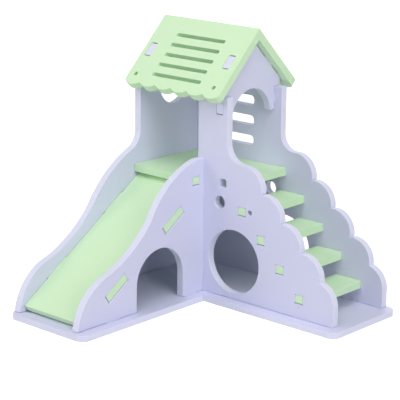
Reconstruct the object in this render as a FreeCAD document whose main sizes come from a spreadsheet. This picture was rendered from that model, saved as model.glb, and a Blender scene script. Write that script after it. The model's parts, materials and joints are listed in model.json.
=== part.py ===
import FreeCAD, Part
import math
import os
from types import SimpleNamespace

import Sketcher

# Flat-pack playhouse for a hamster: a square tower with a gable roof, a wing with a
# slide and a wing with stairs, on an L-shaped base.  Every piece is a routed flat board,
# and boards lock into each other with tabs in mortises.
#
# Frame: millimetres, +Z up, the origin under the middle of the tower on the floor.
# The slide wing runs along -Y and the stair wing along +X.

os.makedirs("parts", exist_ok=True)
doc = FreeCAD.newDocument("HamsterHouse")
sheet = doc.addObject("Spreadsheet::Sheet", "Sizes")

# Driving sizes, in millimetres and degrees.  "along" is counted from the outer back
# corner of the tower, and "up" from the top of the base board.
DRIVING_SIZES = [
    ("board", 9.0, "thickness of walls, roof, floor, slide and treads"),
    ("base_board_thick", 7.5, "thickness of the base board"),
    ("tower_width", 100.0, "tower across the slide wing, outside to outside"),
    ("tower_depth", 98.0, "tower across the stair wing, outside to outside"),
    ("slide_wing", 294.0, "back of the tower to the foot of the slide walls"),
    ("stair_wing", 285.0, "back of the tower to the foot of the stair walls"),
    ("base_along_slide", 299.0, "base board along the slide wing"),
    ("base_along_stairs", 297.0, "base board along the stair wing"),
    ("base_lip", 12.0, "base board shown in front of the inner walls"),
    ("base_ledge", 3.0, "base board shown behind the outer walls"),
    ("base_corner", 10.0, "corner radius of the base board"),
    ("joint_gap", 0.2, "clearance on each side of a tab in its mortise"),
    ("fit_gap", 0.3, "clearance between a floor or tread and the wall it lies against"),
    ("floor_tab", 22.0, "length of a tab in the base board"),
    ("floor_tab_short", 0.5, "tab ends this far above the underside of the base"),
    ("outer_tab_near", 60.0, "middle of an outer wall's first tab in the base"),
    ("inner_tab_slide", 118.0, "middle of the first tab of the slide's inner wall"),
    ("inner_tab_stair", 104.0, "middle of the first tab of the pillar wall"),
    ("tab_far", 242.0, "middle of every wall's second tab in the base"),
    ("corner_tab", 22.0, "length of a tab in the corner of two walls"),
    ("corner_tab_first", 30.0, "middle of the lowest corner tab"),
    ("corner_tab_step", 86.0, "step from one corner tab to the next"),
    ("room_floor_up", 135.8, "top of the upper floor"),
    ("room_floor_front", 116.0, "upper floor, reach along the slide wing"),
    ("room_floor_side", 145.8, "upper floor, reach along the stair wing"),
    ("side_tab", 10.0, "length of a tab of a floor or tread"),
    ("room_tab_along", 55.0, "middle of the upper floor's tab in each outer wall"),
    ("tower_edge_slide", 106.0, "tower edge of the slide's outer wall"),
    ("tower_edge_stair", 136.5, "tower edge of the stairs' outer wall"),
    ("pillar_edge", 133.2, "outer edge of the pillar beside the stairs"),
    ("inner_wall_up", 155.0, "top of the slide's inner wall"),
    ("waist_up", 174.0, "height where the tower edge starts to curve out"),
    ("shoulder_reach", 12.0, "tower edge to the shoulder of the slide wall"),
    ("shoulder_up", 154.2, "height of the shoulder of the slide wall"),
    ("shoulder_rise", 3.3, "how far the curve under the tower edge is hollow"),
    ("brow_reach", 77.0, "tower edge to the end of the slide wall's upper swell"),
    ("brow_up", 98.5, "height of the end of the upper swell"),
    ("brow_rise", 6.3, "how far the upper swell bulges"),
    ("toe_reach", 49.0, "foot of the slide wall back to its lower swell"),
    ("toe_up", 53.0, "height where the lower swell starts"),
    ("dip_rise", 4.9, "how far the dip between the swells is hollow"),
    ("toe_rise", 11.3, "how far the lower swell bulges"),
    ("flat_reach", 11.0, "flat top of the slide's inner wall past the tower"),
    ("inner_brow_rise", 10.5, "how far the upper swell of the slide's inner wall bulges"),
    ("tread_run", 27.6, "step from one tread to the next"),
    ("tread_rise", 27.4, "height from one tread to the next"),
    ("tread_deep", 35.0, "front to back of a tread"),
    ("cloud_ahead", 9.8, "edge of the upper floor back to the first cloud swell"),
    ("cloud_over", 19.2, "cloud edge above the upper floor"),
    ("cloud_rise", 9.3, "how far each cloud swell bulges"),
    ("stair_foot_up", 24.0, "height of the end of the stair walls"),
    ("stair_foot_rise", 4.5, "how far the last cloud swell bulges"),
    ("door_radius", 36.8, "round door and arched door"),
    ("round_door_along", 144.7, "middle of the round door"),
    ("round_door_up", 43.5, "middle of the round door"),
    ("arch_along", 168.4, "middle of the arched door"),
    ("arch_up", 28.5, "height where the arch of the arched door springs"),
    ("bubble_along", 123.5, "middle of the large bubble hole"),
    ("bubble_up", 108.5, "middle of the large bubble hole"),
    ("bubble_radius", 7.6, "large bubble hole"),
    ("small_bubble_along", 167.4, "middle of the small bubble hole"),
    ("small_bubble_up", 104.5, "middle of the small bubble hole"),
    ("small_bubble_radius", 3.0, "small bubble hole"),
    ("spare_mortise_along", 128.0, "middle of the open mortise at the upper floor"),
    ("slide_head", 105.3, "where the slide's upper edge meets the upper floor"),
    ("slide_foot", 11.3, "slide's lowest edge back from the foot of the walls"),
    ("slide_tab", 34.0, "length of a slide tab"),
    ("slide_tab_high", 53.4, "middle of the upper tab from the slide's upper end"),
    ("slide_tab_low", 158.8, "middle of the lower tab from the slide's upper end"),
    ("ridge_up", 298.7, "roof ridge"),
    ("roof_slope", 45.0, "slope of the roof, in degrees"),
    ("eave_length", 94.6, "ridge to the notches of the scalloped eave"),
    ("roof_over_slide", 6.5, "roof past the slide's outer wall"),
    ("roof_over_gable", 9.1, "roof past the gable panel"),
    ("eave_scallops", 6, "scallops of one eave"),
    ("scallop_rise", 4.0, "how far each scallop of the eave bulges"),
    ("eave_corner", 7.0, "corner radius of the eave"),
    ("roof_tab", 16.5, "length of a wall tab in the roof"),
    ("roof_tab_down", 49.3, "ridge to the middle of a roof mortise"),
    ("vent_long", 73.0, "roof slot, end to end"),
    ("vent_high", 4.8, "width of a roof slot"),
    ("vent_first", 24.5, "ridge to the middle of the first roof slot"),
    ("vent_step", 14.1, "step from one roof slot to the next"),
    ("vent_count", 5, "slots in one roof panel"),
    ("tie_hole_down", 84.5, "ridge to the tie holes"),
    ("tie_hole_radius", 2.0, "tie hole"),
    ("gable_outside", 126.4, "outer face of the gable panel, along the stair wing"),
    ("gable_notch", 7.4, "depth of the notch that holds an ear of the gable panel"),
    ("gable_arch_down", 101.5, "ridge to the middle of the gable arch"),
    ("gable_arch_radius", 33.0, "gable arch"),
    ("gable_leg_down", 97.7, "ridge to the foot of the gable panel's legs"),
    ("gable_tab_down", 84.9, "ridge to the middle of the gable panel's side tab"),
    ("gable_tab_high", 13.0, "height of the gable panel's side tab"),
    ("window_down", 77.7, "ridge to the middle of the round window"),
    ("window_radius", 24.0, "round window"),
    ("slot_right", 96.3, "right end of the wall slots"),
    ("slot_long", 66.0, "wall slot, end to end"),
    ("slot_high", 10.0, "height of a wall slot"),
    ("slot_top_down", 91.7, "ridge to the middle of the top wall slot"),
    ("slot_step", 23.5, "step from one wall slot to the next"),
    ("slot_count", 3, "slots in the outer stair wall"),
]


class Size:
    """A length or angle that carries its number and the sheet expression it comes from."""

    def __init__(self, value, text):
        self.value = float(value)
        self.text = text

    def __add__(self, other):
        other = as_size(other)
        return Size(self.value + other.value, "(%s + %s)" % (self.text, other.text))

    def __sub__(self, other):
        other = as_size(other)
        return Size(self.value - other.value, "(%s - %s)" % (self.text, other.text))

    def __mul__(self, other):
        other = as_size(other)
        return Size(self.value * other.value, "(%s * %s)" % (self.text, other.text))

    def __truediv__(self, other):
        other = as_size(other)
        return Size(self.value / other.value, "(%s / %s)" % (self.text, other.text))

    def __radd__(self, other):
        return as_size(other) + self

    def __rsub__(self, other):
        return as_size(other) - self

    def __rmul__(self, other):
        return as_size(other) * self

    def __neg__(self):
        return as_size(0) - self


def as_size(number):
    """A plain number as a size, and a size as it is."""
    return number if isinstance(number, Size) else Size(number, repr(float(number)))


def sine(angle):
    return Size(math.sin(math.radians(angle.value)), "sin(%s)" % angle.text)


def cosine(angle):
    return Size(math.cos(math.radians(angle.value)), "cos(%s)" % angle.text)


def tangent(angle):
    return Size(math.tan(math.radians(angle.value)), "tan(%s)" % angle.text)


def square_root(size):
    return Size(math.sqrt(size.value), "sqrt(%s)" % size.text)


def fill_sheet():
    """Write every driving size to the sheet and return them as sizes by name."""
    found = {}
    for row, (alias, number, meaning) in enumerate(DRIVING_SIZES, start=1):
        sheet.set("A%d" % row, alias)
        sheet.set("B%d" % row, repr(number))
        sheet.set("C%d" % row, meaning)
        sheet.setAlias("B%d" % row, alias)
        found[alias] = Size(number, "Sizes.%s" % alias)
    doc.recompute()
    return SimpleNamespace(**found)


at = fill_sheet()
layout = doc.addObject("Spreadsheet::Sheet", "Layout")


def derived(alias, size):
    """Keep a worked-out size in a sheet of formulas, so that later formulas stay short."""
    row = len([cell for cell in layout.getUsedCells() if cell.startswith("A")]) + 1
    layout.set("A%d" % row, alias)
    layout.set("B%d" % row, "=" + size.text)
    layout.setAlias("B%d" % row, alias)
    return Size(size.value, "Layout.%s" % alias)


# Sketch helpers.  An outline is a list of corners; a corner is (x, y) or (x, y, rise),
# where rise is how far the edge that leaves it bows out to the left of its way, or
# (x, y, "half") for a half circle to the right of its way.

def tie(sketch, constraint, size):
    """Add a dimension to a sketch and bind it to the sizes."""
    index = sketch.addConstraint(constraint)
    sketch.setExpression("Constraints[%d]" % index, size.text)


def pin_point(sketch, geometry, end, x, y):
    """Place one point of a sketch by its two dimensions from the sketch's origin."""
    for kind, size, axis in (("DistanceX", as_size(x), -2), ("DistanceY", as_size(y), -1)):
        if size.text == "0.0":
            sketch.addConstraint(Sketcher.Constraint("PointOnObject", geometry, end, axis))
        else:
            tie(sketch, Sketcher.Constraint(kind, -1, 1, geometry, end, size.value), size)


def arc_between(first, last, rise):
    """The arc from first to last that bows out by rise to the left, counted from its chord."""
    chord = last - first
    half = chord.Length / 2
    left = FreeCAD.Vector(-chord.y, chord.x, 0).normalize()
    radius = (half * half + rise * rise) / (2 * abs(rise))
    side = 1 if rise > 0 else -1
    centre = (first + last) / 2 + left * (rise - side * radius)
    start = first - centre
    finish = last - centre
    angles = [math.atan2(start.y, start.x), math.atan2(finish.y, finish.x)]
    clockwise = rise > 0
    if clockwise:
        angles.reverse()
    circle = Part.Circle(centre, FreeCAD.Vector(0, 0, 1), radius)
    return Part.ArcOfCircle(circle, angles[0], angles[1]), clockwise


def draw_outline(sketch, corners):
    """Draw a closed outline of lines and arcs, with every corner and radius bound."""
    corners = [tuple(corner) for corner in corners]
    spots = [(as_size(corner[0]), as_size(corner[1])) for corner in corners]
    places = [FreeCAD.Vector(x.value, y.value, 0) for x, y in spots]
    ends = []
    for index, corner in enumerate(corners):
        following = (index + 1) % len(corners)
        first = places[index]
        last = places[following]
        if len(corner) == 2:
            geometry = sketch.addGeometry(Part.LineSegment(first, last), False)
            ends.append((geometry, 1, 2))
            continue
        half_round = corner[2] == "half"
        rise = -(last - first).Length / 2 if half_round else as_size(corner[2]).value
        arc, clockwise = arc_between(first, last, rise)
        geometry = sketch.addGeometry(arc, False)
        ends.append((geometry, 2, 1) if clockwise else (geometry, 1, 2))
    for index, (geometry, start, finish) in enumerate(ends):
        following = (index + 1) % len(ends)
        sketch.addConstraint(Sketcher.Constraint(
            "Coincident", geometry, finish, ends[following][0], ends[following][1]))
        pin_point(sketch, geometry, start, *spots[index])
    for index, corner in enumerate(corners):
        if len(corner) == 2:
            continue
        x0, y0 = spots[index]
        x1, y1 = spots[(index + 1) % len(corners)]
        geometry = ends[index][0]
        if corner[2] == "half":
            upright = abs(x1.value - x0.value) < abs(y1.value - y0.value)
            kind = "DistanceX" if upright else "DistanceY"
            middle = x0 if upright else y0
            tie(sketch, Sketcher.Constraint(kind, -1, 1, geometry, 3, middle.value), middle)
            continue
        rise = as_size(corner[2])
        chord_squared = (x1 - x0) * (x1 - x0) + (y1 - y0) * (y1 - y0)
        radius = (chord_squared / 4 + rise * rise) / (2 * rise)
        if radius.value < 0:
            radius = -radius
        tie(sketch, Sketcher.Constraint("Radius", geometry, radius.value), radius)


def draw_circle(sketch, x, y, radius):
    centre = FreeCAD.Vector(as_size(x).value, as_size(y).value, 0)
    circle = Part.Circle(centre, FreeCAD.Vector(0, 0, 1), radius.value)
    geometry = sketch.addGeometry(circle, False)
    pin_point(sketch, geometry, 3, x, y)
    tie(sketch, Sketcher.Constraint("Radius", geometry, radius.value), radius)


def box_corners(x0, y0, x1, y1):
    return [(x0, y0), (x1, y0), (x1, y1), (x0, y1)]


def slot_corners(x0, y0, x1, y1):
    """A slot along x with half-round ends."""
    radius = (as_size(y1) - y0) / 2
    return [(x0 + radius, y0), (x1 - radius, y0, "half"), (x1 - radius, y1), (x0 + radius, y1, "half")]


def origin_plane(body, role):
    return [f for f in body.Origin.OriginFeatures if f.Role == role][0]


def new_sketch(body, name, role="XY_Plane", offset=None):
    """A sketch on one of the body's own planes, moved off it by offset."""
    sketch = body.newObject("Sketcher::SketchObject", name)
    sketch.AttachmentSupport = (origin_plane(body, role), [""])
    sketch.MapMode = "FlatFace"
    if offset is not None:
        sketch.AttachmentOffset = FreeCAD.Placement(
            FreeCAD.Vector(0, 0, offset.value), FreeCAD.Rotation())
        sketch.setExpression("AttachmentOffset.Base.z", offset.text)
    return sketch


def add_pad(body, name, outlines, thickness, offset=None, backwards=False):
    """Pad closed outlines by a thickness."""
    sketch = new_sketch(body, name + "_sketch", offset=offset)
    for corners in outlines:
        draw_outline(sketch, corners)
    pad = body.newObject("PartDesign::Pad", name)
    pad.Profile = sketch
    pad.Length = thickness.value
    pad.setExpression("Length", thickness.text)
    pad.Reversed = backwards
    doc.recompute()
    return pad


def cut_through(body, name, outlines, circles=(), role="XY_Plane"):
    """Cut outlines and circles right through a board, and make sure that it got lighter."""
    before = body.Shape.Volume
    sketch = new_sketch(body, name + "_sketch", role)
    for corners in outlines:
        draw_outline(sketch, corners)
    for x, y, radius in circles:
        draw_circle(sketch, x, y, radius)
    pocket = body.newObject("PartDesign::Pocket", name)
    pocket.Profile = sketch
    pocket.Type = 1
    pocket.Midplane = True
    doc.recompute()
    if not body.Shape.Volume < before:
        raise RuntimeError("%s of %s cuts nothing" % (name, body.Label))
    return pocket


def repeat(body, name, feature, axis_role, step, count):
    """Repeat a feature along one of the body's axes."""
    pattern = body.newObject("PartDesign::LinearPattern", name)
    pattern.Originals = [feature]
    axis = [f for f in body.Origin.OriginFeatures if f.Role == axis_role][0]
    pattern.Direction = (axis, [""])
    length = step * (count - 1)
    pattern.Length = abs(length.value)
    pattern.Reversed = length.value < 0
    pattern.setExpression("Length", length.text if length.value > 0 else (-length).text)
    pattern.Occurrences = int(count.value)
    pattern.setExpression("Occurrences", count.text)
    body.Tip = pattern
    doc.recompute()
    return pattern


ALONG_X = FreeCAD.Rotation(FreeCAD.Vector(1, 0, 0), 90)
ALONG_SLIDE = FreeCAD.Rotation(
    FreeCAD.Vector(0, -1, 0), FreeCAD.Vector(0, 0, 1), FreeCAD.Vector(-1, 0, 0))
node_names = []


def new_body(name, x, y, z, rotation=None):
    """A board's body, with its label and its bound place."""
    body = doc.addObject("PartDesign::Body", name)
    body.Label = name
    place = [as_size(size) for size in (x, y, z)]
    base = FreeCAD.Vector(*[size.value for size in place])
    body.Placement = FreeCAD.Placement(base, rotation or FreeCAD.Rotation())
    for letter, size in zip("xyz", place):
        body.setExpression("Placement.Base.%s" % letter, size.text)
    node_names.append(name)
    return body


def round_corners(body, name, spots, radius):
    """Round the board's corners that stand at the given spots of its outline."""
    names = []
    for index, edge in enumerate(body.Shape.Edges, start=1):
        line = body.Placement.inverse().toMatrix()
        ends = [line.multVec(vertex.Point) for vertex in edge.Vertexes]
        across = len(ends) == 2 and abs(ends[0].z - ends[1].z) > at.board.value / 2
        for x, y in spots:
            if across and math.hypot(ends[0].x - as_size(x).value, ends[0].y - as_size(y).value) < 0.01:
                names.append("Edge%d" % index)
    if len(names) != len(spots):
        raise RuntimeError("%s of %s finds %d corners" % (name, body.Label, len(names)))
    base = body.Tip
    fillet = body.newObject("PartDesign::Fillet", name)
    fillet.Base = (base, names)
    fillet.Radius = radius.value
    fillet.setExpression("Radius", radius.text)
    body.Tip = fillet
    doc.recompute()


def span(middle, length, gap=0.0):
    """The two ends of a stretch with a gap added at each end."""
    half = as_size(length) / 2 + gap
    return middle - half, middle + half


def tab_box(middle, length, y0, y1, gap=0.0):
    """A box along x round a middle."""
    x0, x1 = span(middle, length, gap)
    return box_corners(x0, y0, x1, y1)


# Places that several pieces share.  A notch that opens on an edge is cut from past_edge
# outside it.
board = at.board
gap = at.joint_gap
slope = at.roof_slope
left = -at.tower_width / 2
back = at.tower_depth / 2
floor_top = at.base_board_thick
ridge_along = at.tower_depth / 2
inside_slide_wall = at.tower_width - board
inside_pillar_wall = at.tower_depth - board
apex_up = derived("apex_up", at.ridge_up - board / cosine(slope))
wall_top = derived("wall_top", apex_up - ridge_along * tangent(slope))
gable_inside = derived("gable_inside", at.gable_outside - board)
notch_up = derived("notch_up", wall_top - at.gable_notch)
room_floor_under = derived("room_floor_under", at.room_floor_up - board)
floor_tab_deep = at.base_board_thick - at.floor_tab_short
past_edge = gap * 5
outside_corner_tabs = [at.corner_tab_first + at.corner_tab_step * step for step in range(3)]
inside_corner_tabs = outside_corner_tabs[:2]


def roof_spot(side, down, deep):
    """A spot in the plane across the ridge, down one slope and deep under its top face."""
    run = down * cosine(slope) - deep * sine(slope)
    up = at.ridge_up - down * sine(slope) - deep * cosine(slope)
    return ridge_along + side * run, up


def roof_tab(side):
    """The outline of a tab that passes through the roof, with its root in the wall."""
    near, far = span(at.roof_tab_down, at.roof_tab)
    root = board * 1.5
    return [roof_spot(side, near, 0.0), roof_spot(side, far, 0.0),
            roof_spot(side, far, root), roof_spot(side, near, root)]


# The slide lies straight from under the upper floor to the base board.
slide_top = derived("slide_top", room_floor_under - at.fit_gap)
slide_run = derived("slide_run", at.slide_wing - at.slide_foot - at.slide_head)
slide_span = derived("slide_span", square_root(slide_run * slide_run + slide_top * slide_top))
slide_long = derived("slide_long", square_root(slide_span * slide_span - board * board))
slide_sine = derived("slide_sine", (slide_top * slide_long - slide_run * board)
                     / (slide_span * slide_span))
slide_cosine = derived("slide_cosine", (slide_run * slide_long + slide_top * board)
                       / (slide_span * slide_span))


def slide_spot(down, deep):
    """A spot in the slide's side view, down its length and deep under its top face."""
    return (at.slide_head + down * slide_cosine - deep * slide_sine,
            slide_top - down * slide_sine - deep * slide_cosine)


def slide_box(start, finish, extra):
    return [slide_spot(start - extra, -as_size(extra)), slide_spot(finish + extra, -as_size(extra)),
            slide_spot(finish + extra, board + extra), slide_spot(start - extra, board + extra)]


def slide_tabs(extra):
    return [slide_box(*span(middle, at.slide_tab), extra)
            for middle in (at.slide_tab_high, at.slide_tab_low)]


def floor_tabs(first):
    """Outlines of a wall's two tabs in the base board, in the wall's own view."""
    return [tab_box(middle, at.floor_tab, -floor_tab_deep, board) for middle in (first, at.tab_far)]


def tread_edge(step):
    """Front edge and top of a tread; step 0 is the upper floor."""
    return at.room_floor_side + at.tread_run * step, at.room_floor_up - at.tread_rise * step


TREAD_STEPS = (1, 2, 3, 4)


def tread_mortises():
    found = []
    for step in TREAD_STEPS:
        front, up = tread_edge(step)
        found.append(tab_box(front - at.tread_deep / 2, at.side_tab, up - board - gap, up + gap, gap))
    return found


def room_mortise(middle):
    return tab_box(middle, at.side_tab, room_floor_under - gap, at.room_floor_up + gap, gap)


def gable_mortise():
    low, high = span(at.ridge_up - at.gable_tab_down, at.gable_tab_high, gap)
    return box_corners(gable_inside - gap, low, at.gable_outside + gap, high)


def cloud_edge():
    """The stair walls' edge from its foot up to the first cloud swell."""
    first_along = at.room_floor_side + at.cloud_ahead
    first_up = at.room_floor_up + at.cloud_over
    corners = [(at.stair_wing, 0.0), (at.stair_wing, at.stair_foot_up, -at.stair_foot_rise)]
    for step in (4, 3, 2, 1):
        corners.append((first_along + at.tread_run * step, first_up - at.tread_rise * step,
                        -at.cloud_rise))
    return corners, first_along, first_up


def stair_wall_corners(start, tower_edge):
    """The outline of a stair wall: foot, cloud edge, waist, tower edge and notched top."""
    corners, first_along, first_up = cloud_edge()
    waist = first_along - tower_edge
    waist_rise = waist * (1 - math.sqrt(0.5))
    return [(start, 0.0)] + corners + [
        (first_along, first_up, waist_rise), (tower_edge, first_up + waist),
        (tower_edge, wall_top), (at.gable_outside + gap, wall_top),
        (at.gable_outside + gap, notch_up), (gable_inside - gap, notch_up),
        (gable_inside - gap, wall_top), (start, wall_top)]


def slide_wall_curves(brow_end, brow_rise):
    """The swell, the dip and the toe of a slide wall, from its foot upwards."""
    return [(at.slide_wing, 0.0, -at.toe_rise),
            (at.slide_wing - at.toe_reach, at.toe_up, at.dip_rise),
            (at.tower_edge_slide + at.brow_reach, at.brow_up, -brow_rise)] + brow_end


STAIR_WALL_HOLES = [
    (at.round_door_along, at.round_door_up, at.door_radius),
    (at.bubble_along, at.bubble_up, at.bubble_radius),
    (at.small_bubble_along, at.small_bubble_up, at.small_bubble_radius),
]


def make_base_board():
    """L-shaped board that carries the four walls, with a mortise for each tab."""
    body = new_body("base_board", left, back, 0.0)
    strip_slide = at.tower_width + at.base_lip
    strip_stairs = at.tower_depth + at.base_lip
    long_side = -at.base_along_slide
    ledge = at.base_ledge
    outline = [(-ledge, ledge), (-ledge, long_side), (strip_slide, long_side),
               (strip_slide, -strip_stairs), (at.base_along_stairs, -strip_stairs),
               (at.base_along_stairs, ledge)]
    add_pad(body, "board", [outline], at.base_board_thick)
    round_corners(body, "corners", [outline[1], outline[2], outline[4], outline[5]], at.base_corner)
    round_corners(body, "back_corner", [outline[0]], ledge)
    slots = []
    for middle in (at.outer_tab_near, at.tab_far):
        near, far = span(middle, at.floor_tab, gap)
        slots.append(box_corners(-gap, -far, board + gap, -near))
        slots.append(box_corners(near, -board - gap, far, gap))
    for middle in (at.inner_tab_slide, at.tab_far):
        near, far = span(middle, at.floor_tab, gap)
        slots.append(box_corners(inside_slide_wall - gap, -far, at.tower_width + gap, -near))
    for middle in (at.inner_tab_stair, at.tab_far):
        near, far = span(middle, at.floor_tab, gap)
        slots.append(box_corners(near, -at.tower_depth - gap, far, gap - inside_pillar_wall))
    cut_through(body, "mortises", slots)


def make_slide_outer_wall():
    """Tall back wall of the tower that runs down beside the slide."""
    body = new_body("slide_outer_wall", left + board, back, floor_top, ALONG_SLIDE)
    edge = at.tower_edge_slide
    roof_edge_up = apex_up - (edge - ridge_along) * tangent(slope)
    brow_end = [(edge + at.shoulder_reach, at.shoulder_up, at.shoulder_rise), (edge, at.waist_up)]
    outline = [(0.0, 0.0)] + slide_wall_curves(brow_end, at.brow_rise) + [
        (edge, roof_edge_up), (ridge_along, apex_up), (0.0, wall_top)]
    add_pad(body, "board", [outline], board)
    add_pad(body, "floor_tabs", floor_tabs(at.outer_tab_near), board)
    add_pad(body, "roof_tabs", [roof_tab(-1), roof_tab(1)], board)
    corner_slots = []
    for middle in outside_corner_tabs:
        low, high = span(middle, at.corner_tab, gap)
        corner_slots.append(box_corners(-past_edge, low, board + gap, high))
    cut_through(body, "corner_notches", corner_slots)
    cut_through(body, "mortises", slide_tabs(gap) + [room_mortise(at.room_tab_along)])
    cut_through(body, "window", [], [(ridge_along, at.ridge_up - at.window_down, at.window_radius)])


def make_slide_inner_wall():
    """Low wall between the slide and the yard, with an arched door."""
    body = new_body("slide_inner_wall", left + at.tower_width, back, floor_top, ALONG_SLIDE)
    start = at.tower_depth
    brow_end = [(start + at.flat_reach, at.inner_wall_up), (start, at.inner_wall_up)]
    outline = [(start, 0.0)] + slide_wall_curves(brow_end, at.inner_brow_rise)
    add_pad(body, "board", [outline], board)
    add_pad(body, "floor_tabs", floor_tabs(at.inner_tab_slide), board)
    corner_tabs = []
    for middle in inside_corner_tabs:
        low, high = span(middle, at.corner_tab)
        corner_tabs.append(box_corners(inside_pillar_wall, low, start + board, high))
    add_pad(body, "corner_tabs", corner_tabs, board)
    near, far = span(at.arch_along, at.door_radius * 2)
    arch = [(near, -board), (far, -board), (far, at.arch_up, "half"), (near, at.arch_up)]
    cut_through(body, "arched_door", [arch])
    room_tab_middle = at.room_floor_front - at.side_tab / 2
    cut_through(body, "mortises", slide_tabs(gap) + [room_mortise(room_tab_middle)])


def make_stair_outer_wall():
    """Tall back wall of the tower that runs down beside the stairs."""
    body = new_body("stair_outer_wall", left, back, floor_top, ALONG_X)
    add_pad(body, "board", [stair_wall_corners(board, at.tower_edge_stair)], board)
    add_pad(body, "floor_tabs", floor_tabs(at.outer_tab_near), board)
    corner_tabs = []
    for middle in outside_corner_tabs:
        low, high = span(middle, at.corner_tab)
        corner_tabs.append(box_corners(0.0, low, board * 2, high))
    add_pad(body, "corner_tabs", corner_tabs, board)
    cut_through(body, "holes", [], STAIR_WALL_HOLES)
    room_tabs = [room_mortise(at.room_tab_along), room_mortise(at.spare_mortise_along)]
    cut_through(body, "mortises", tread_mortises() + room_tabs + [gable_mortise()])
    low, high = span(at.ridge_up - at.slot_top_down, at.slot_high)
    slot = slot_corners(at.slot_right - at.slot_long, low, at.slot_right, high)
    top_slot = cut_through(body, "top_slot", [slot])
    repeat(body, "slots", top_slot, "Y_Axis", -at.slot_step, at.slot_count)


def make_stair_inner_wall():
    """Front wall of the tower and stairs: pillar, round door and cloud edge."""
    body = new_body("stair_inner_wall", left, back - inside_pillar_wall, floor_top, ALONG_X)
    add_pad(body, "board", [stair_wall_corners(inside_slide_wall, at.pillar_edge)], board)
    add_pad(body, "floor_tabs", floor_tabs(at.inner_tab_stair), board)
    cut_through(body, "holes", [], STAIR_WALL_HOLES)
    corner_slots = []
    for middle in inside_corner_tabs:
        low, high = span(middle, at.corner_tab, gap)
        corner_slots.append(box_corners(inside_slide_wall - past_edge, low, at.tower_width + gap, high))
    cut_through(body, "corner_notches", corner_slots)
    cut_through(body, "mortises",
                tread_mortises() + [room_mortise(at.spare_mortise_along), gable_mortise()])


def make_gable_panel():
    """Gable over the stair side: ears rest in notches, side tabs and roof tabs lock it."""
    body = new_body("gable_panel", left + at.gable_outside, back, floor_top, ALONG_SLIDE)
    near = board + at.fit_gap
    far = inside_pillar_wall - at.fit_gap
    leg_up = at.ridge_up - at.gable_leg_down
    outline = [(0.0, notch_up), (near, notch_up), (near, leg_up), (far, leg_up),
               (far, notch_up), (at.tower_depth, notch_up), (at.tower_depth, wall_top),
               (ridge_along, apex_up), (0.0, wall_top)]
    add_pad(body, "board", [outline], board)
    low, high = span(at.ridge_up - at.gable_tab_down, at.gable_tab_high)
    tab_root = board * 1.5
    add_pad(body, "side_tabs", [box_corners(0.0, low, tab_root, high),
                                box_corners(at.tower_depth - tab_root, low, at.tower_depth, high)], board)
    add_pad(body, "roof_tabs", [roof_tab(-1), roof_tab(1)], board)
    cut_through(body, "arch", [], [(ridge_along, at.ridge_up - at.gable_arch_down, at.gable_arch_radius)])


def make_roof_panel(name, side):
    """Half of the roof: mitred at the ridge, scalloped at the eave, slotted for air."""
    tilt = FreeCAD.Rotation(FreeCAD.Vector(-side, 0, 0), slope.value)
    body = new_body(name, left - at.roof_over_slide, 0.0, floor_top + at.ridge_up, tilt)
    body.setExpression("Placement.Rotation.Angle", slope.text)
    length = at.roof_over_slide + at.gable_outside + at.roof_over_gable
    count = int(at.eave_scallops.value)
    pitch = length / at.eave_scallops
    eave = side * at.eave_length
    corners = [(0.0, 0.0), (length, 0.0)]
    for scallop in range(count, 0, -1):
        corners.append((pitch * scallop, eave, -side * at.scallop_rise))
    corners.append((0.0, eave))
    add_pad(body, "board", [corners], board, backwards=True)
    round_corners(body, "eave_corners", [(0.0, eave), (length, eave)], at.eave_corner)
    beyond = board * 0.2
    lap = (board + beyond) * tangent(slope)
    mitre = [(0.0, 0.0), (-side * beyond, 0.0), (-side * beyond, -board - beyond),
             (side * lap, -board - beyond)]
    cut_through(body, "ridge_mitre", [mitre], role="YZ_Plane")
    down = [side * distance for distance in span(at.roof_tab_down, at.roof_tab, gap)]
    holes = []
    ties = []
    for outer_face in (at.roof_over_slide + board, at.roof_over_slide + at.gable_outside):
        holes.append(box_corners(outer_face - board - gap, down[0], outer_face + gap, down[1]))
        ties.append((outer_face - board / 2, side * at.tie_hole_down, at.tie_hole_radius))
    cut_through(body, "mortises", holes, ties)
    middle = length / 2
    vent_left, vent_right = span(middle, at.vent_long)
    near, far = span(at.vent_first * side, at.vent_high)
    vent = cut_through(body, "first_vent", [slot_corners(vent_left, near, vent_right, far)])
    repeat(body, "vents", vent, "Y_Axis", side * at.vent_step, at.vent_count)


def make_upper_floor():
    """L-shaped floor of the tower room, which looks out over the slide and the stairs."""
    body = new_body("upper_floor", left, back, floor_top + room_floor_under)
    clear = at.fit_gap
    start = board + clear
    corner_x = inside_slide_wall - clear
    corner_y = -(inside_pillar_wall - clear)
    front = -at.room_floor_front
    outline = [(start, -start), (start, front), (corner_x, front), (corner_x, corner_y),
               (at.room_floor_side, corner_y), (at.room_floor_side, -start)]
    add_pad(body, "board", [outline], board)
    root = board * 2
    near, far = span(at.room_tab_along, at.side_tab)
    tabs = [box_corners(0.0, -far, root, -near), box_corners(near, -root, far, 0.0),
            tab_box(at.spare_mortise_along, at.side_tab, -root, 0.0),
            box_corners(corner_x - board, front, at.tower_width, front + at.side_tab)]
    add_pad(body, "tabs", tabs, board)


def make_slide_board():
    """Straight slide with two tabs in each side wall."""
    body = new_body("slide_board", left + at.tower_width, back, floor_top, ALONG_SLIDE)
    inset = board + at.fit_gap
    add_pad(body, "board", [slide_box(as_size(0.0), slide_long, 0.0)],
            at.tower_width - inset * 2, offset=inset)
    add_pad(body, "tabs", slide_tabs(0.0), at.tower_width)


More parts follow.
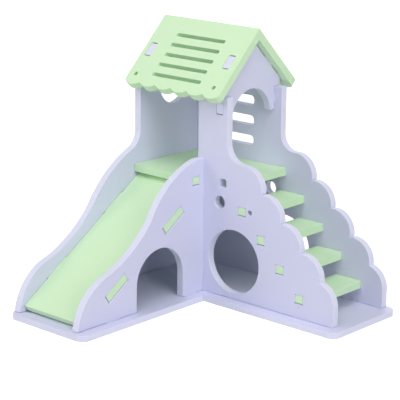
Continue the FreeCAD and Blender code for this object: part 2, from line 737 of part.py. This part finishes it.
def make_stair_tread(step):
    """One tread, with a tab in each stair wall."""
    front, up = tread_edge(step)
    body = new_body("stair_tread_%d" % step, left + front - at.tread_deep, back, floor_top + up - board)
    inset = board + at.fit_gap
    near, far = span(at.tread_deep / 2, at.side_tab)
    add_pad(body, "board", [box_corners(0.0, inset - at.tower_depth, at.tread_deep, -inset)], board)
    add_pad(body, "tabs", [box_corners(near, -at.tower_depth, far, 0.0)], board)


def check_and_write():
    """Stop if any object failed or any piece is not one valid solid, then write the pieces."""
    for item in doc.Objects:
        if "Invalid" in item.State or "Error" in item.State:
            raise RuntimeError("%s failed: %s" % (item.Name, item.State))
    for name in node_names:
        shape = doc.getObjectsByLabel(name)[0].Shape
        if shape.isNull() or not shape.isValid() or len(shape.Solids) != 1:
            raise RuntimeError("%s is not one valid solid" % name)
        box = shape.BoundBox
        print("%-18s %8.1f cm3  x %7.1f %7.1f  y %7.1f %7.1f  z %6.1f %6.1f" % (
            name, shape.Volume / 1000, box.XMin, box.XMax, box.YMin, box.YMax, box.ZMin, box.ZMax))
        shape.exportStep("parts/%s.step" % name)


make_base_board()
make_slide_outer_wall()
make_slide_inner_wall()
make_stair_outer_wall()
make_stair_inner_wall()
make_gable_panel()
make_roof_panel("roof_panel_front", -1)
make_roof_panel("roof_panel_back", 1)
make_upper_floor()
make_slide_board()
for step_number in TREAD_STEPS:
    make_stair_tread(step_number)
doc.recompute()
check_and_write()
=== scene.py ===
import json
import math

import bmesh
import bpy
from mathutils import Matrix, Vector


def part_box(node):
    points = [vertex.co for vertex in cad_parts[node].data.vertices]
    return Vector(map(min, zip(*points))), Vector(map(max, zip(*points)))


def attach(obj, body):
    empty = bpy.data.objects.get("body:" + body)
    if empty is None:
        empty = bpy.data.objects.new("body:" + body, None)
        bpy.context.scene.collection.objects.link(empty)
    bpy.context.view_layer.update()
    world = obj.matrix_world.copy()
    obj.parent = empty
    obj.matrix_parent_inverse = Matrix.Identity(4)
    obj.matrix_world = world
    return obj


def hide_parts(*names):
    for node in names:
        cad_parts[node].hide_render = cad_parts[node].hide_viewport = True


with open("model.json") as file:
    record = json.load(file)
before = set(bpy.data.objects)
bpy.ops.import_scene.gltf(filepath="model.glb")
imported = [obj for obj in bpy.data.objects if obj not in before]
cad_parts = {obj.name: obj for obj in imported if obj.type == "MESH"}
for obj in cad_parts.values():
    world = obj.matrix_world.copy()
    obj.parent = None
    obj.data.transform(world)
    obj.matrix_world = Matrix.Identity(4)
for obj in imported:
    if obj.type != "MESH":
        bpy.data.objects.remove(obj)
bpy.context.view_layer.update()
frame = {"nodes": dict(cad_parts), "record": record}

# Base board.  An L of 7.5 mm fibreboard that carries the four walls, cut out with a router
# and sprayed all over with a satin lilac lacquer.  Each wall stands in two mortises.  The
# sharp edges are only rubbed down with sandpaper, so they catch a thin line of light, and
# the lacquer on all the cut edges is painted lighter than on the faces, a painted highlight.

MM = 0.001
SANDED_EDGE = 0.6 * MM
EDGE_STEPS = 2
CORNER_STEPS = 5
CUTTER_RADIUS = 0.65 * MM
CUTTER_SIDES = 20
BORE_LENGTH = 1.5  # in board thicknesses, so that a bore passes out at both faces
WELD = 0.001 * MM
FLAT_TURN = math.radians(0.5)
SHARP_TURN = math.radians(40)
SQUARE_TURN = math.radians(80)
NEARLY_ALONG = 0.99  # cosine between an edge and the way through the board
NEARLY_FACING = 0.9  # cosine between a face's normal and the way through the board


def linear(hex_colour):
    """A colour written as sRGB hex, as linear red, green, blue and alpha."""
    found = []
    for place in (1, 3, 5):
        share = int(hex_colour[place:place + 2], 16) / 255
        found.append(share / 12.92 if share <= 0.04045 else ((share + 0.055) / 1.055) ** 2.4)
    return (*found, 1.0)


def add_node(tree, kind, settings=(), links=()):
    """Add a shader node, set its properties and inputs, and link sockets to its inputs."""
    node = tree.nodes.new(kind)
    for name, value in dict(settings).items():
        if isinstance(name, int) or name in node.inputs:
            node.inputs[name].default_value = value
        else:
            setattr(node, name, value)
    for name, socket in dict(links).items():
        tree.links.new(socket, node.inputs[name])
    return node


def per_mm(millimetres):
    """The scale of a pattern whose marks are that many millimetres apart."""
    return 1.0 / (millimetres * MM)


def blank_material(name):
    """A new material without any nodes."""
    material = bpy.data.materials.new(name)
    material.use_nodes = True
    material.node_tree.nodes.clear()
    return material


def lacquered_fibreboard(name, colour, cloud_colour):
    """Fibreboard, filled, sanded and sprayed with a satin lacquer.

    The eye sees an even colour with faint clouds from the spray fan, 70 mm apart, and a soft
    sheen broken by orange peel.  The peel's grains are drawn 1.5 mm wide, coarser than the
    real ones, so that they show.
    """
    material = blank_material(name)
    tree = material.node_tree
    place = add_node(tree, "ShaderNodeTexCoord").outputs["Object"]
    clouds = add_node(tree, "ShaderNodeTexNoise", {"Scale": per_mm(70), "Detail": 2.0},
                      {"Vector": place})
    tint = add_node(tree, "ShaderNodeMix",
                    {"data_type": "RGBA", 6: linear(colour), 7: linear(cloud_colour)},
                    {"Factor": clouds.outputs["Fac"]})
    peel = add_node(tree, "ShaderNodeTexNoise", {"Scale": per_mm(1.5), "Detail": 1.0},
                    {"Vector": place})
    sheen = add_node(tree, "ShaderNodeMapRange", {"To Min": 0.42, "To Max": 0.54},
                     {"Value": peel.outputs["Fac"]})
    relief = add_node(tree, "ShaderNodeBump", {"Strength": 0.25, "Distance": 0.05 * MM},
                      {"Height": peel.outputs["Fac"]})
    paint = add_node(tree, "ShaderNodeBsdfPrincipled", {"IOR": 1.5},
                     {"Base Color": tint.outputs[2], "Roughness": sheen.outputs["Result"],
                      "Normal": relief.outputs["Normal"]})
    add_node(tree, "ShaderNodeOutputMaterial", (), {"Surface": paint.outputs["BSDF"]})
    return material


def lacquered_routed_edge(name, colour, fibre_colour):
    """The routed edge of the same board, where the open fibres drink the lacquer.

    The eye sees a flatter sheen than on the board's faces, a felt of fibres, drawn 0.8 mm
    apart and so coarser than the real ones, and the cutter's faint waves, 5 mm long.  Where its
    colours are lighter than the board's faces, as on the lilac boards, that is a painted
    highlight for the light that the cut edges catch.
    """
    material = blank_material(name)
    tree = material.node_tree
    place = add_node(tree, "ShaderNodeTexCoord").outputs["Object"]
    felt = add_node(tree, "ShaderNodeTexNoise", {"Scale": per_mm(0.8), "Detail": 3.0},
                    {"Vector": place})
    ripple = add_node(tree, "ShaderNodeTexNoise", {"Scale": per_mm(5), "Detail": 0.0},
                      {"Vector": place})
    share = add_node(tree, "ShaderNodeMapRange",
                     {"From Min": 0.35, "From Max": 0.75, "To Min": 0.0, "To Max": 1.0},
                     {"Value": felt.outputs["Fac"]})
    tint = add_node(tree, "ShaderNodeMix",
                    {"data_type": "RGBA", 6: linear(colour), 7: linear(fibre_colour)},
                    {"Factor": share.outputs["Result"]})
    fine = add_node(tree, "ShaderNodeBump", {"Strength": 0.35, "Distance": 0.06 * MM},
                    {"Height": felt.outputs["Fac"]})
    relief = add_node(tree, "ShaderNodeBump", {"Strength": 0.3, "Distance": 0.15 * MM},
                      {"Height": ripple.outputs["Fac"], "Normal": fine.outputs["Normal"]})
    paint = add_node(tree, "ShaderNodeBsdfPrincipled", {"IOR": 1.5, "Roughness": 0.6},
                     {"Base Color": tint.outputs[2], "Normal": relief.outputs["Normal"]})
    add_node(tree, "ShaderNodeOutputMaterial", (), {"Surface": paint.outputs["BSDF"]})
    return material


LILAC_FINISH = (
    lacquered_fibreboard("satin_lilac_lacquer_on_fibreboard", "#DADBF4", "#D7D8F1"),
    # The lilac edge colours are lighter than the faces': a painted highlight for the light that
    # the cut edges catch.
    lacquered_routed_edge("satin_lilac_lacquer_on_routed_edge_painted_highlight", "#E6E7FC", "#DDDEF5"),
)


def merged_copy(node):
    """The CAD board as clean flat faces, in a bmesh."""
    shape = bmesh.new()
    shape.from_mesh(frame["nodes"][node].data)
    bmesh.ops.remove_doubles(shape, verts=shape.verts, dist=WELD)
    bmesh.ops.dissolve_limit(shape, angle_limit=FLAT_TURN, verts=shape.verts, edges=shape.edges)
    return shape


def thickness_way(shape):
    """The direction through the board: the normal of its largest face."""
    return max(shape.faces, key=lambda face: face.calc_area()).normal.copy()


def middle_of(edge):
    """The point halfway along an edge."""
    return (edge.verts[0].co + edge.verts[1].co) / 2


def inside_corners(shape, through):
    """The edges through the board where two straight cuts meet inwards."""
    found = []
    for edge in shape.edges:
        run = edge.verts[1].co - edge.verts[0].co
        crosses = run.length > 0 and abs(run.normalized().dot(through)) > NEARLY_ALONG
        if crosses and edge.calc_face_angle_signed(0.0) < -SQUARE_TURN:
            found.append(edge)
    return found


def round_off(shape, edges, radius, steps=CORNER_STEPS):
    """Round the edges, or cut them to a chamfer with one step."""
    bmesh.ops.bevel(shape, geom=edges, offset=radius, offset_type="OFFSET", segments=steps,
                    profile=0.5, affect="EDGES", clamp_overlap=True, material=-1)


def sand_edges(shape):
    """Break every outward edge with a small round."""
    sharp = [edge for edge in shape.edges if edge.calc_face_angle_signed(0.0) > SHARP_TURN]
    round_off(shape, sharp, SANDED_EDGE, EDGE_STEPS)


def object_from(shape, name):
    """An object in the scene whose mesh is the bmesh, which is then freed."""
    mesh = bpy.data.meshes.new(name)
    shape.to_mesh(mesh)
    shape.free()
    made = bpy.data.objects.new(name, mesh)
    bpy.context.scene.collection.objects.link(made)
    return made


def cutter_bores(corners, through, board_thick):
    """The marks of the round cutter, one bore in each inside corner, as one object."""
    bores = bmesh.new()
    turn = Vector((0, 0, 1)).rotation_difference(through).to_matrix().to_4x4()
    for corner in corners:
        bmesh.ops.create_cone(bores, cap_ends=True, segments=CUTTER_SIDES, radius1=CUTTER_RADIUS,
                              radius2=CUTTER_RADIUS, depth=board_thick * BORE_LENGTH,
                              matrix=Matrix.Translation(corner) @ turn)
    return object_from(bores, "cutter_bores")


def cut_away(board, bores):
    """Cut the bores out of the board and delete them."""
    cut = board.modifiers.new("cut", "BOOLEAN")
    cut.operation = "DIFFERENCE"
    cut.solver = "EXACT"
    cut.object = bores
    graph = bpy.context.evaluated_depsgraph_get()
    done = bpy.data.meshes.new_from_object(board.evaluated_get(graph))
    board.modifiers.remove(cut)
    board.data = done
    bpy.data.objects.remove(bores)


def paint_board(board, through, finish):
    """Give the flat faces the board's finish and all cut edges the edge's finish."""
    board.data.materials.clear()
    for material in finish:
        board.data.materials.append(material)
    shape = bmesh.new()
    shape.from_mesh(board.data)
    for face in shape.faces:
        face.material_index = 0 if abs(face.normal.dot(through)) > NEARLY_FACING else 1
        face.smooth = True
    for edge in shape.edges:
        edge.smooth = edge.calc_face_angle(0.0) < SHARP_TURN
    shape.to_mesh(board.data)
    shape.free()
    even = board.modifiers.new("even_shading", "WEIGHTED_NORMAL")
    even.keep_sharp = True


def finish_board(node, finish, board_thick, fettle=None):
    """Put a sanded and painted board in place of its CAD node.

    The fettle, where there is one, first changes the cuts that are this board's own.
    """
    shape = merged_copy(node)
    through = thickness_way(shape)
    if fettle:
        fettle(shape, through)
    corners = [middle_of(edge) for edge in inside_corners(shape, through)]
    sand_edges(shape)
    board = object_from(shape, node + "_painted")
    if corners:
        cut_away(board, cutter_bores(corners, through, board_thick))
    paint_board(board, through, finish)
    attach(board, "root")
    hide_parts(node)


BASE_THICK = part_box("base_board")[1].z
finish_board("base_board", LILAC_FINISH, BASE_THICK)

# Walls.  Four upright lilac boards, 9 mm thick.  Two tall ones close the back of the tower
# and run down beside the slide and the stairs; two inner ones hold the arched and the round
# door.  They lock together in the corners, and stand in the base with tabs in mortises.

WALL_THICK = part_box("slide_inner_wall")[1].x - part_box("slide_inner_wall")[0].x
NEARBY = 1.0 * MM
SLOT_DROP = 1.6 * MM
SLOT_REACH = 8 * MM
NOTCH_DEEP = 7.4 * MM  # from the walls' top to where the CAD gable's ears rest
NOTCH_LOWER = 2.0 * MM  # from there to where they rest in the photograph
TAB_GAP_BELOW = 0.7 * MM
FOOT_GAP = 0.5 * MM
GABLE_TAB_GAP_BESIDE = 0.35 * MM
GABLE_MORTISE_ROUND = 1.2 * MM
EMPTY_MORTISE_ROUND = 2.6 * MM
LEVEL_FACE = 0.9  # least upward part of a level face's normal
SLANTED_FACE = 0.5  # the same of a face that a slanted tab can rest on

gable_near, gable_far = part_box("gable_panel")
floor_low, floor_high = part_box("upper_floor")
notch_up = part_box("stair_inner_wall")[1].z - NOTCH_DEEP


def ease_joints(shape, through):
    """Leave a gap under each tab of the floor, the slide and the treads, and under the wall."""
    foot = {vert for face in shape.faces for vert in face.verts
            if face.normal.z < -LEVEL_FACE
            and abs(face.calc_center_median().z - BASE_THICK) < NEARBY}
    bmesh.ops.translate(shape, verts=list(foot), vec=(0, 0, FOOT_GAP))
    corners = set(inside_corners(shape, through))
    moves = [(face.verts[:], face.normal * -TAB_GAP_BELOW) for face in shape.faces
             if face.normal.z > SLANTED_FACE and face.calc_center_median().z < floor_high.z
             and sum(edge in corners for edge in face.edges) == 2]
    for verts, way in moves:
        bmesh.ops.translate(shape, verts=verts, vec=way)


def deepen_slots(shape):
    """Lower the bottom of each air slot of the wall behind the stairs."""
    for opening in frame["record"]["physics"]["openings"]:
        if opening["name"].startswith("wall_slot"):
            low, high = [Vector(corner) for corner in opening["box_m"]]
            middle_up = (low.z + high.z) / 2
            under = [vert for vert in shape.verts
                     if low.x - SLOT_REACH < vert.co.x < high.x + SLOT_REACH
                     and middle_up - SLOT_REACH < vert.co.z < middle_up]
            bmesh.ops.translate(shape, verts=under, vec=(0, 0, -SLOT_DROP))


def fit_to_gable(shape, through):
    """Cut the wall's top down beyond the gable panel, and round the mortise of its side tab."""
    for vert in shape.verts:
        if vert.co.x > gable_near.x - NEARBY and vert.co.z > notch_up - NEARBY:
            vert.co.z = notch_up - NOTCH_LOWER
    bmesh.ops.remove_doubles(shape, verts=shape.verts, dist=10 * WELD)
    bmesh.ops.dissolve_limit(shape, angle_limit=FLAT_TURN, verts=shape.verts, edges=shape.edges)
    ease_joints(shape, through)
    beside = [edge for edge in inside_corners(shape, through)
              if gable_near.x - NEARBY < middle_of(edge).x < gable_far.x + NEARBY
              and gable_near.z < middle_of(edge).z < notch_up - SLOT_REACH]
    for edge in beside:
        if middle_of(edge).x < gable_near.x:
            bmesh.ops.translate(shape, verts=edge.verts, vec=(-GABLE_TAB_GAP_BESIDE, 0, 0))
    middle_up = sum(middle_of(edge).z for edge in beside) / len(beside)
    round_off(shape, [edge for edge in beside if middle_of(edge).z < middle_up],
              GABLE_MORTISE_ROUND)


def fit_outer_stair_wall(shape, through):
    """The wall behind the stairs has the air slots as well."""
    fit_to_gable(shape, through)
    deepen_slots(shape)


def fit_inner_stair_wall(shape, through):
    """The wall in front of the stairs has one mortise that stays empty, with round corners."""
    fit_to_gable(shape, through)
    empty = [edge for edge in inside_corners(shape, through)
             if gable_near.x - NEARBY < middle_of(edge).x < floor_high.x
             and floor_low.z - 2 * NEARBY < middle_of(edge).z < floor_high.z + NEARBY]
    round_off(shape, empty, EMPTY_MORTISE_ROUND)


for wall, fettle_wall in (("slide_outer_wall", ease_joints),
                          ("slide_inner_wall", ease_joints),
                          ("stair_outer_wall", fit_outer_stair_wall),
                          ("stair_inner_wall", fit_inner_stair_wall)):
    finish_board(wall, LILAC_FINISH, WALL_THICK, fettle_wall)

# Gable panel.  A lilac board with an arch that hangs between the two stair walls: its ears
# rest in notches, its side tabs pass through mortises, and two tabs pass up through the roof.

GABLE_TAB_SHORT = 0.9 * MM
ROOF_GAP = 0.7 * MM
ROOF_SLOPE = math.radians(45)


def seat_gable(shape, through):
    """Lower the ears to the notches, and leave gaps under the side tabs and the roof."""
    inside_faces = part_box("stair_outer_wall")[0].y - NEARBY
    outer = [vert for vert in shape.verts if abs(vert.co.y) > inside_faces]
    tab_low = min(vert.co.z for vert in outer if abs(vert.co.y) > inside_faces + 2 * NEARBY)
    for vert in outer:
        if abs(vert.co.z - notch_up) < NEARBY:
            vert.co.z -= NOTCH_LOWER
        elif abs(vert.co.z - tab_low) < NEARBY:
            vert.co.z += GABLE_TAB_SHORT
    for vert in shape.verts:
        past_slope = (abs(vert.co.y) + vert.co.z - gable_far.z) * math.cos(ROOF_SLOPE)
        if abs(past_slope) < ROOF_GAP / 2:
            inwards = min(abs(vert.co.y), ROOF_GAP * math.sin(ROOF_SLOPE))
            vert.co.z -= ROOF_GAP / math.cos(ROOF_SLOPE) - inwards
            vert.co.y -= math.copysign(inwards, vert.co.y)


finish_board("gable_panel", LILAC_FINISH, WALL_THICK, seat_gable)

# Roof.  Two mint boards, mitred where they meet at the ridge, with a scalloped eave, five
# air slots, and a mortise for each tab of the wall and the gable.  Small holes near the
# eave take a tie.

MINT_FINISH = (
    lacquered_fibreboard("satin_mint_lacquer_on_fibreboard", "#D8F6CE", "#D4F3CA"),
    lacquered_routed_edge("satin_mint_lacquer_on_routed_edge", "#D5F4CC", "#CBEAC2"),
)
ROOF_MORTISE_SPARE = 1.2 * MM
ROOF_MORTISE_ROUND = 2.0 * MM
TIE_HOLE_WIDER = 0.6 * MM
TIE_HOLE_WIDEST = 2.3 * MM  # in radius; every other opening is larger
CROSSWISE = 0.1  # cosine between a side face's normal and the way through the board


def rings_of_side_faces(shape, through):
    """The side faces of a board, in groups that each go round one opening or the outline."""
    left = {face for face in shape.faces if abs(face.normal.dot(through)) < CROSSWISE}
    rings = []
    while left:
        ring = [left.pop()]
        for face in ring:
            touching = {other for edge in face.edges for other in edge.link_faces} & left
            left -= touching
            ring.extend(touching)
        rings.append(ring)
    return rings


def ream_tie_holes(shape, through):
    """Widen the small holes near the eave."""
    for ring in rings_of_side_faces(shape, through):
        verts = list({vert for face in ring for vert in face.verts})
        centre = sum((vert.co for vert in verts), Vector()) / len(verts)
        spokes = [vert.co - centre - through * (vert.co - centre).dot(through) for vert in verts]
        if max(spoke.length for spoke in spokes) < TIE_HOLE_WIDEST:
            for vert, spoke in zip(verts, spokes):
                vert.co += spoke.normalized() * TIE_HOLE_WIDER


def fit_roof(shape, through):
    """Ream the tie holes, and lengthen the mortises along the slope, with round corners."""
    ream_tie_holes(shape, through)
    corners = inside_corners(shape, through)
    downhill = through.cross(Vector((1, 0, 0))).normalized()
    level = sum(middle_of(edge).dot(downhill) for edge in corners) / len(corners)
    for edge in corners:
        way = downhill if middle_of(edge).dot(downhill) > level else -downhill
        bmesh.ops.translate(shape, verts=edge.verts, vec=way * ROOF_MORTISE_SPARE)
    round_off(shape, corners, ROOF_MORTISE_ROUND)


for panel in ("roof_panel_front", "roof_panel_back"):
    finish_board(panel, MINT_FINISH, WALL_THICK, fit_roof)

# Upper floor and slide.  An L-shaped mint floor that rests on the walls by its tabs, and a
# straight mint slide under its edge whose four tabs show as slanted bars in the walls.

SLIDE_TOE_CHAMFER = 1.5 * MM
TOE_REACH = 0.1 * MM


def chamfer_toe(shape, through):
    """Take the corner off the slide's lowest edge, so that it stands clear of the base."""
    lowest = min(vert.co.z for vert in shape.verts)
    toe = [edge for edge in shape.edges if middle_of(edge).z < lowest + TOE_REACH]
    round_off(shape, toe, SLIDE_TOE_CHAMFER, 1)


finish_board("upper_floor", MINT_FINISH, WALL_THICK)
finish_board("slide_board", MINT_FINISH, WALL_THICK, chamfer_toe)

# Stairs.  Four like treads of the mint board between the two stair walls.  Each is held by
# one tab at each end, whose square end shows in the wall.

TREADS = 4
for tread in range(1, TREADS + 1):
    finish_board("stair_tread_%d" % tread, MINT_FINISH, WALL_THICK)

# Studio.  A white sweep that shows only a soft shadow, a large softbox high in front, a
# weaker one low on either side and behind, and an even white room around them.

FLOOR_REACH = 6.0
FLOOR_COLOUR = "#EEEEEE"
FLOOR_GLOW = 0.7


def seen_or_mirrored(tree):
    """1 for rays that come from the camera, a mirror or glass, and 0 for the rest."""
    path = add_node(tree, "ShaderNodeLightPath")
    mirror = add_node(tree, "ShaderNodeMath", {"operation": "MAXIMUM"},
                      {0: path.outputs["Is Glossy Ray"], 1: path.outputs["Is Transmission Ray"]})
    shown = add_node(tree, "ShaderNodeMath", {"operation": "MAXIMUM"},
                     {0: path.outputs["Is Camera Ray"], 1: mirror.outputs[0]})
    return shown.outputs[0]


floor_shape = bmesh.new()
bmesh.ops.create_grid(floor_shape, x_segments=1, y_segments=1, size=FLOOR_REACH)
studio_floor = object_from(floor_shape, "studio_floor")
# White paper: the eye sees plain white, and on it only the soft shadow of the house.
white = blank_material("white_paper_sweep")
sweep = white.node_tree
paper = add_node(sweep, "ShaderNodeBsdfDiffuse", {"Color": linear(FLOOR_COLOUR)})
glow = add_node(sweep, "ShaderNodeEmission", {"Strength": FLOOR_GLOW})
both = add_node(sweep, "ShaderNodeAddShader", (), {0: paper.outputs[0], 1: glow.outputs[0]})
direct = add_node(sweep, "ShaderNodeMixShader", (),
                  {0: seen_or_mirrored(sweep), 1: paper.outputs[0], 2: both.outputs[0]})
add_node(sweep, "ShaderNodeOutputMaterial", (), {"Surface": direct.outputs[0]})
studio_floor.data.materials.append(white)

ROOM_LIGHT = 0.26
ROOM_COLOUR = "#FFFFFF"
world = bpy.data.worlds.new("white_room")
bpy.context.scene.world = world
world.use_nodes = True
room = world.node_tree
room.nodes.clear()
level = add_node(room, "ShaderNodeMapRange", {"To Min": ROOM_LIGHT, "To Max": 1.0},
                 {"Value": seen_or_mirrored(room)})
backdrop = add_node(room, "ShaderNodeBackground", {"Color": linear(ROOM_COLOUR)},
                    {"Strength": level.outputs["Result"]})
add_node(room, "ShaderNodeOutputWorld", (), {"Surface": backdrop.outputs[0]})

HOUSE_MIDDLE = Vector((0.08, -0.09, 0.12))


def softbox(name, place, size, watts):
    """A square lamp that looks at the middle of the house."""
    lamp = bpy.data.lights.new(name, "AREA")
    lamp.shape = "SQUARE"
    lamp.size = size
    lamp.energy = watts
    made = bpy.data.objects.new(name, lamp)
    bpy.context.scene.collection.objects.link(made)
    made.location = place
    made.rotation_euler = (HOUSE_MIDDLE - made.location).to_track_quat("-Z", "Y").to_euler()


softbox("key_softbox", (0.8, -0.9, 2.0), 1.6, 22)
softbox("left_softbox", (-1.0, -1.6, 0.9), 1.0, 9)
softbox("right_softbox", (2.0, -0.6, 1.0), 1.0, 12)
softbox("rear_softbox", (-0.9, 1.9, 1.0), 1.4, 9)

# Camera.  A long lens that looks between the two wings from above the height of the roof, as
# the photograph does.  It was fitted to the corners of the boards.  AIM is a point inside the
# tower, and the camera stands off from it, slightly shifted and leaning.

AROUND = math.radians(41.889)
ABOVE = math.radians(15.285)
LEAN = math.radians(0.593)
DISTANCE = 1767.23 * MM
SIDEWAYS = -2.888 * MM
UPWARDS = 6.654 * MM
FOCAL_PIXELS = 1577.49
FRAME_PIXELS = 400
SENSOR_WIDTH = 36.0
AIM = Vector((0.05, -0.051, 0.1 + BASE_THICK))

backwards = Vector((math.sin(AROUND) * math.cos(ABOVE), -math.cos(AROUND) * math.cos(ABOVE),
                    math.sin(ABOVE)))
level_right = Vector((math.cos(AROUND), math.sin(AROUND), 0.0))
level_up = backwards.cross(level_right)
right = math.cos(LEAN) * level_right + math.sin(LEAN) * level_up
up = -math.sin(LEAN) * level_right + math.cos(LEAN) * level_up
eye = AIM + backwards * DISTANCE + level_right * SIDEWAYS + level_up * UPWARDS
lens = bpy.data.cameras.new("camera")
lens.sensor_width = SENSOR_WIDTH
lens.lens = SENSOR_WIDTH * FOCAL_PIXELS / FRAME_PIXELS
camera = bpy.data.objects.new("camera", lens)
bpy.context.scene.collection.objects.link(camera)
camera.matrix_world = Matrix.Translation(eye) @ Matrix(
    (right, up, backwards)).transposed().to_4x4()
scene = bpy.context.scene
scene.camera = camera
scene.view_settings.view_transform = "Standard"
